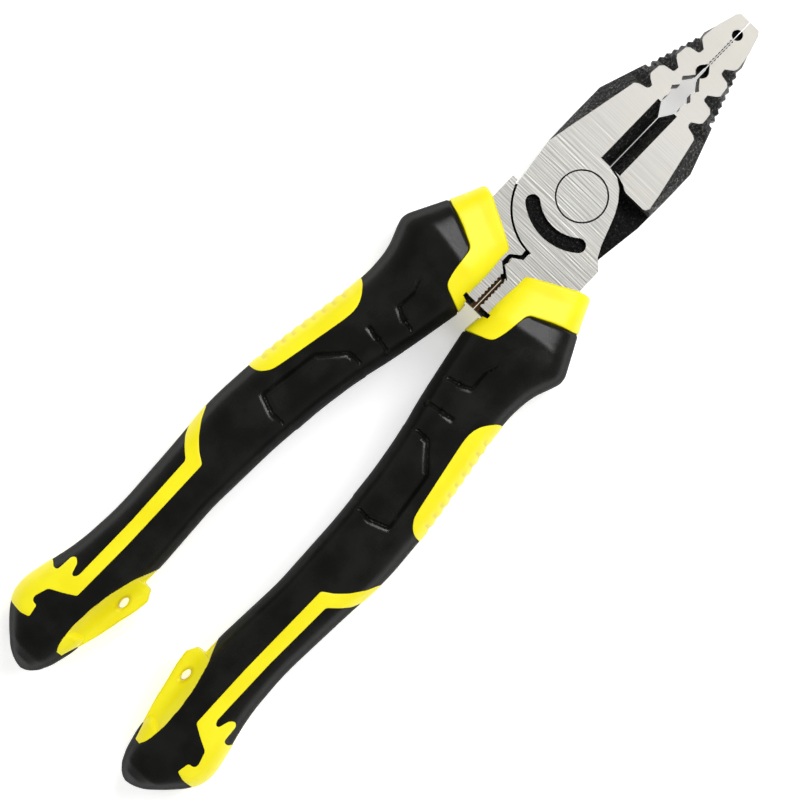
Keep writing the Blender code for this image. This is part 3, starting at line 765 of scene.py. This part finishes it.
stripe = {
    "outline": [(-97.5, 32), (-98.5, 29.6), (-101.6, 28.0), (-104.8, 25.6), (-107.2, 23.1),
                (-109.0, 20.4), (-135, 19.9), (-151.9, 20.1), (-153.6, 22.9), (-155.4, 26.3),
                (-158.9, 27.4), (-159.9, 27.0), (-160.0, 25.5), (-163.3, 24.9), (-164.1, 27.2),
                (-164.0, 34.0)],
    "island": [(-150.6, 34.0), (-150.0, 30.2), (-150.9, 29.1), (-150.6, 28.0), (-146.2, 27.7),
               (-145.3, 26.8), (-146.2, 25.5), (-149.0, 24.6), (-149.0, 23.9), (-148.0, 23.4),
               (-130, 23.4), (-111.1, 24.1), (-109, 26.5), (-107, 28.3), (-104.6, 29.5),
               (-103.5, 32)],
    "beyond": (-130, 34),    # closes both lines outside the grip
    "leanFrom": -110.0,
    "leanSpan": 40.0,
    "cornerRadius": 0.55,
    "rise": 0.12,
    "spacing": 0.55,
}


def leaned(outline, half):
    # the stripe leans outwards towards the butt, by the half's lean for each millimetre
    outline = np.array(outline, float)
    back = np.clip(stripe["leanFrom"] - outline[:, 0], 0, stripe["leanSpan"])
    outline[:, 1] += half["lean"] * back
    return outline


def makeStripe(half):
    loops = [wrappedLoop(leaned(stripe[key], half), stripe["cornerRadius"])
             for key in ("outline", "island")]
    name = "palmStripe" + half["mark"].upper()
    return inlayPatch(name, half, loops, stripe["rise"], stripe["spacing"])


def makeCollar(half):
    # rows from a lip at the rear edge, forward over the skin, round the front edge and in to the
    # middle of the face
    turn = columnTurns()
    rear = collarEdge(turn) + skin["seam"]
    radius = collar["frontRadius"]
    shoulder = grip["guard"] - radius
    lip = seamLip(rear + skin["lipSetback"], turn)
    share = np.linspace(0, 1, collar["rows"])[:, None] ** collar["rowPower"]
    station = rear + (shoulder - rear) * share
    top = gripLifted(station, turn, -rimDrop(station - rear, skin["lipRadius"], skin["lipRadius"]))
    bend = np.radians(np.linspace(15, 90, 6))[:, None]
    front = gripLifted(shoulder + radius * np.sin(bend), turn, -radius * (1 - np.cos(bend)))
    centre = front[-1].mean(axis=0)
    face = centre + (front[-1] - centre) * np.array(collar["faceShares"])[:, None, None]
    rows = np.concatenate([lip, top, front, face])[::-1]
    reach = smoothRise(rows[..., 0], *collar["bendSpan"])
    rows[..., 0] += lookUp(rows[..., 1], collar["frontBend"]) * reach
    piece = closedGrid("guardCollar" + half["mark"].upper(), rows, half)
    combine(piece, "DIFFERENCE", [slab("cut", np.array(outline) - (half["slide"], 0), height, half)
                                  for outline, height in collar["cuts"]])
    return piece


tab = {
    "leaf": [(-134.5, 10.9), (-140, 13.2), (-146.5, 14.9), (-152, 15.7), (-158, 16.0),
             (-162.0, 15.6), (-164.0, 15.1), (-165.0, 14.4)],
    "free": [(-165.0, 13.0), (-164.3, 12.75), (-160.0, 11.3), (-155, 9.9), (-150, 8.85),
             (-145.5, 7.75), (-142.0, 7.3), (-139.35, 8.75), (-139.1, 10.9), (-134.5, 10.9)],
    "bed": [(-165.0, 13.3), (-164.5, 12.8), (-163.2, 12.35), (-161.0, 11.7), (-160.6, 4),
            (-134.4, 4)],                  # closes the leaf's line to the loop that makes room
    "bedRadius": 1.0,
    "bedFall": 2.6,
    "bedHeight": 1.2,
    "ends": (-164.95, -134.7),
    "rows": 190,
    "leafBlur": 0.8,
    "freeBlur": [(-160, 0.8), (-150, 1.2), (-142, 0.3), (-139, 0.05)],
    "inset": 0.12,                         # how far the leaf's edge is under the skin
    "slopeWidth": 5.2,
    "slopeColumns": 44,
    "finHalfThickness": 2.6,
    "edgeRadius": 0.9,
    "flushSpan": (156.0, 160.5),           # the rear end rises to the skin over this span of -x
    "holeCentre": (-146.0, 11.25),
    "holeRadii": (1.65, 0.8),
    "holeColumns": 40,
    "dishDepth": 0.6,
    "dishSpan": (0.9, 1.7),                # in hole radii, as is the shade's
    "shadeSpan": (1.0, 2.0),
}


def underTab(body):
    # makes room for the lanyard tab: inside its leaf the skin falls away faster than the tab's
    # slope does
    x, y, z = np.moveaxis(body, -1, 0)
    depth = depthInside(x, y, np.vstack([eased(tab["leaf"], tab["bedRadius"]), tab["bed"]]))
    limit = np.maximum(np.abs(z) - np.clip(depth, 0, None) * tab["bedFall"], tab["bedHeight"])
    room = smoothRise(depth, 0.0, 0.9) * 0.8 + smoothRise(depth, 0.9, 2.4) * 2.2
    z = np.where(depth > 0, np.sign(z) * np.minimum(np.abs(z), limit), z)
    return np.stack([x, y + room, z], axis=-1)


def skinHeight(x, y):
    # height of the skin over plan points, where the sections are square to the x axis
    _, innerY, _, outerY = gripEdges(x)
    across = np.clip((2 * y - innerY - outerY) / (outerY - innerY), -1, 1)
    power = lookUp(x, grip["power"])
    crest = gripPoints(x, np.pi / 2 + 0 * x)[..., 2]
    return crest * (1 - np.abs(across) ** power) ** (1 / power)


def fromHole(x, y):
    # distance from the hole's centre, 1 on the oval's edge
    (centreX, centreY), (radiusX, radiusY) = tab["holeCentre"], tab["holeRadii"]
    return np.hypot((x - centreX) / radiusX, (y - centreY) / radiusY)


def makeTab(half):
    # a closed section carried along the grip: down the slope from the leaf's edge, over the fin,
    # round its free edge, back along the underside and through the inside of the grip
    stops = [p[0] for p in tab["free"][1:-1]]
    x = np.unique(np.concatenate([np.linspace(*tab["ends"], tab["rows"]), stops]))[:, None]
    leafY = softLine(tab["leaf"], x, tab["leafBlur"])
    freeY = softLine(tab["free"], x, lookUp(x, tab["freeBlur"]))
    leafZ = np.maximum(skinHeight(x, leafY) - tab["inset"], tab["finHalfThickness"])
    rootY = np.maximum(leafY - tab["slopeWidth"], freeY + 0.2)
    edgeZ = tab["finHalfThickness"] - 0.1 + 0 * x
    radius = tab["edgeRadius"]
    bend = np.radians(np.linspace(0, 90, 6))[None, :]
    roundY = freeY + radius * (1 - np.sin(bend)) * np.minimum(1, rootY - freeY)
    roundZ = edgeZ - radius + radius * np.cos(bend)
    share = np.linspace(0, 1, tab["slopeColumns"])[None, :-1]
    finY = leafY + (roundY[:, :1] - leafY) * share
    fall = np.clip((leafY - finY) / np.maximum(leafY - rootY, 0.3), 0, 1)
    flush = (skinHeight(x, finY) - tab["inset"]) * smoothRise(-x, *tab["flushSpan"])
    finZ = np.maximum(edgeZ + (leafZ - edgeZ) * (1 - fall) ** 2, flush)
    finZ = finZ - tab["dishDepth"] * (1 - smoothRise(fromHole(x, finY), *tab["dishSpan"]))
    upperY = np.concatenate([leafY + 0.9, leafY + 0.12, finY, roundY], axis=1)
    upperZ = np.concatenate([leafZ - 1.6, leafZ - 0.25, finZ, roundZ], axis=1)
    y = np.concatenate([upperY, upperY[:, ::-1]], axis=1)
    z = np.concatenate([upperZ, -upperZ[:, ::-1]], axis=1)
    rows = np.stack([x + 0 * y, y, z], axis=-1)[::-1, ::-1]
    piece = closedGrid("lanyardTab" + half["mark"].upper(), rows, half)
    angle = np.linspace(0, 2 * np.pi, tab["holeColumns"], endpoint=False)
    circle = np.stack([np.cos(angle), np.sin(angle)], axis=1)
    oval = np.array(tab["holeCentre"]) + circle * tab["holeRadii"]
    combine(piece, "DIFFERENCE", [slab("hole", oval, throughHeight, half)])
    shadeHole(piece, half)
    return piece


def shadeHole(piece, half):
    # painted shade round the hole, most on the side towards the grip
    spots = np.empty(len(piece.data.vertices) * 3)
    piece.data.vertices.foreach_get("co", spots)
    spots = spots.reshape(-1, 3) * 1000 - pivot
    x, y = spots[:, 0] - half["slide"], spots[:, 1] * half["side"]
    shade = 1 - smoothRise(fromHole(x, y), *tab["shadeSpan"])
    gripSide = smoothRise(y - tab["holeCentre"][1], -0.5, 0.6)
    markPoints(piece, "paintedShade", shade * (0.35 + 0.65 * gripSide))


steel = {
    "mergeDistance": 2e-6,
    "flatAngle": 0.6,
    "edgeWidth": 0.16,
    "edgeAngle": 30,
    "levelNormal": 0.999,
    "blockCorner": [(-6.5, 12.9), (-8.0, 12.9), (-10.2, 15.3), (-10.2, 16.0), (-6.5, 16.0)],
    # dark sheets at mid-depth that stand in for the shadow in deep gaps: their half height, then
    # their outlines
    "webHalfHeight": 4.2,
    "blockShadowSheet": [(-36.8, 0.12), (-35.0, 0.12), (-35.0, 4.2), (-36.8, 4.2)],
    "dieShadowSheet": [(-18.2, -0.5), (-18.2, 0.6), (-18.8, 1.1), (-20.2, 1.1), (-21.7, 3.1), (-22.1, 3.4),
               (-24.3, 3.4), (-26.4, 1.1), (-27.2, 1.1), (-27.2, -0.5), (-26.35, -0.5),
               (-25.9, 0.1), (-24.4, 2.05), (-23.9, 1.92), (-23.1, 1.67), (-22.4, 1.92),
               (-21.95, 2.0), (-20.3, -0.5)],
    "holeShadowSheetCentre": (53.0, 0.12),
    "holeShadowSheetRadii": (1.6, 1.5),
}


def finishedCopy(node, name, cutters=()):
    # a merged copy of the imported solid, cut by the cutters and with its edges eased
    bm = bmesh.new()
    bm.from_mesh(frame["nodes"][node].data)
    bmesh.ops.remove_doubles(bm, verts=bm.verts, dist=steel["mergeDistance"])
    bmesh.ops.dissolve_limit(bm, angle_limit=np.radians(steel["flatAngle"]), verts=bm.verts,
                             edges=bm.edges)
    mesh = bpy.data.meshes.new(name)
    bm.to_mesh(mesh)
    bm.free()
    piece = bpy.data.objects.new(name, mesh)
    bpy.context.scene.collection.objects.link(piece)
    combine(piece, "DIFFERENCE", cutters)
    ease = piece.modifiers.new("ease", "BEVEL")
    ease.width, ease.segments = steel["edgeWidth"] / 1000, 2
    ease.limit_method, ease.angle_limit = "ANGLE", np.radians(steel["edgeAngle"])
    ease.use_clamp_overlap = True
    bake(piece)
    return piece


def flatTops(piece):
    # the level faces are shaded flat, so the eased edges don't tint them
    mesh = piece.data
    upright = np.empty(len(mesh.polygons) * 3)
    mesh.polygons.foreach_get("normal", upright)
    mesh.polygons.foreach_set("use_smooth", np.abs(upright[2::3]) < steel["levelNormal"])


def makeLever(half):
    # the lever with dark sheets at mid-depth behind its block, in the nose hole and, on lever B, in
    # the crimping die;
    # they stand in for the shadow in these deep gaps. The sheets and the cutter belong to the
    # lever, so they don't slide.
    handleSide = {"side": half["side"], "slide": 0.0}
    jawSide = {"side": -half["side"], "slide": 0.0}          # across the pivot from the handle
    isB = half["mark"] == "b"
    cutters = [] if isB else [slab("corner", steel["blockCorner"], throughHeight, handleSide)]
    piece = finishedCopy("lever_" + half["mark"], "lever" + half["mark"].upper(), cutters)
    angle = np.radians(np.linspace(0, 180, 13))
    circle = np.stack([np.cos(angle), np.sin(angle)], axis=1)
    holeShadowSheet = np.array(steel["holeShadowSheetCentre"]) + circle * steel["holeShadowSheetRadii"]
    webs = [(steel["blockShadowSheet"], handleSide), (holeShadowSheet, jawSide)]
    webs += [(steel["dieShadowSheet"], handleSide)] if isB else []
    # the dark sheets, painted shadow, joined to the lever
    combine(piece, "UNION", [slab("web", outline, steel["webHalfHeight"], place)
                             for outline, place in webs])
    return piece


for half in halves:
    lever = makeLever(half)
    present(lever, half["body"], "ground_steel", ["lever_" + half["mark"]])
    flatTops(lever)
rivet = finishedCopy("pivot_rivet", "pivotRivet")
present(rivet, "fixed_half", "ground_steel", ["pivot_rivet"])
flatTops(rivet)
print("steel finished")

for half in halves:
    mark = half["mark"]
    present(makeSkin(half), half["body"], "black_rubber", ["grip_skin_" + mark])
    present(makeCollar(half), half["body"], "yellow_plastic", ["guard_collar_" + mark])
    present(makePad(half), half["body"], "yellow_plastic", ["thumb_pad_" + mark])
    present(makeStripe(half), half["body"], "yellow_plastic", ["palm_stripe_" + mark])
    present(makeTab(half), half["body"], "yellow_plastic", ["lanyard_tab_" + mark])
    sleeve = frame["nodes"]["core_sleeve_" + mark]
    sleeve.data.materials.clear()
    sleeve.data.materials.append(finishes["yellow_plastic"])
    print("grip", mark, "finished")


studio = {
    "camera": {"aim": (-64.6, -2.5), "distance": 1.05, "level": 0.0165, "frame": 0.1897,
               "turn": -46.0},
    "walls": 0.62,           # light walls and a darker ceiling
    "ceiling": 0.2,
    "ceilingFrom": 0.8,
    "floorSpan": 3.0,
    "floorGlow": 0.42,
    "floorShades": ((0.93, 0.93, 0.93), (0.95, 0.95, 0.95)),
    "floorRoughness": 0.7,
    "lights": [
        {"name": "noseSide", "at": (0.50, -0.04, 0.92), "size": (0.85, 0.25), "watts": 8.3,
         "glossy": True},
        {"name": "leftSide", "at": (-0.35, 0.75, 0.75), "size": (0.8, 0.6), "watts": 3.1,
         "glossy": False},
        {"name": "rightSide", "at": (-0.25, -0.8, 0.7), "size": (0.8, 0.6), "watts": 2.8,
         "glossy": False},
    ],
}


def makeWorld(scene):
    world = bpy.data.worlds.new("studio")
    world.use_nodes = True
    nodes, links = world.node_tree.nodes, world.node_tree.links
    direction = nodes.new("ShaderNodeTexCoord")
    heights = nodes.new("ShaderNodeSeparateXYZ")
    fade = nodes.new("ShaderNodeMapRange")
    links.new(direction.outputs["Generated"], heights.inputs[0])
    links.new(heights.outputs["Z"], fade.inputs["Value"])
    fade.inputs["From Max"].default_value = studio["ceilingFrom"]
    fade.inputs["To Min"].default_value = studio["walls"]
    fade.inputs["To Max"].default_value = studio["ceiling"]
    nodes["Background"].inputs["Color"].default_value = (1, 1, 1, 1)
    links.new(fade.outputs[0], nodes["Background"].inputs["Strength"])
    scene.world = world


def makeFloor(scene):
    span = studio["floorSpan"]
    mesh = bpy.data.meshes.new("floor")
    corners = [(-span, -span, 0), (span, -span, 0), (span, span, 0), (-span, span, 0)]
    mesh.from_pydata(corners, [], [(0, 1, 2, 3)])
    floor = bpy.data.objects.new("floor", mesh)
    scene.collection.objects.link(floor)
    paint = Paint("paleFloor", Specular_IOR_Level=0.1, Emission_Color=(1, 1, 1, 1),
                  Emission_Strength=studio["floorGlow"])
    tone = paint.noise(paint.add("TexCoord", out="Object"), 3.0, 2.0)
    colour = paint.mix(*studio["floorShades"], tone)
    mesh.materials.append(paint.finish(colour, studio["floorRoughness"]))


def makeLights(scene):
    for lamp in studio["lights"]:
        data = bpy.data.lights.new(lamp["name"], "AREA")
        data.shape = "RECTANGLE"
        data.size, data.size_y = lamp["size"]
        data.energy = lamp["watts"]
        holder = bpy.data.objects.new(lamp["name"], data)
        holder.visible_glossy = lamp["glossy"]
        holder.location = lamp["at"]
        holder.rotation_euler = (-Vector(lamp["at"])).to_track_quat("-Z", "Y").to_euler()
        scene.collection.objects.link(holder)


def makeCamera(scene):
    # straight down on aim; frame is the width seen at the level of the tool's upper faces
    view = studio["camera"]
    data = bpy.data.cameras.new("camera")
    data.lens = data.sensor_width * (view["distance"] - view["level"]) / view["frame"]
    camera = bpy.data.objects.new("camera", data)
    aimX, aimY = (pivot[k] / 1000 + view["aim"][k] / 1000 for k in (0, 1))
    camera.location = (aimX, aimY, view["distance"])
    camera.rotation_euler = (0, 0, np.radians(view["turn"]))
    scene.collection.objects.link(camera)
    scene.camera = camera


scene = bpy.context.scene
scene.view_settings.view_transform = "Standard"
makeWorld(scene)
makeFloor(scene)
makeLights(scene)
makeCamera(scene)
print("studio set")
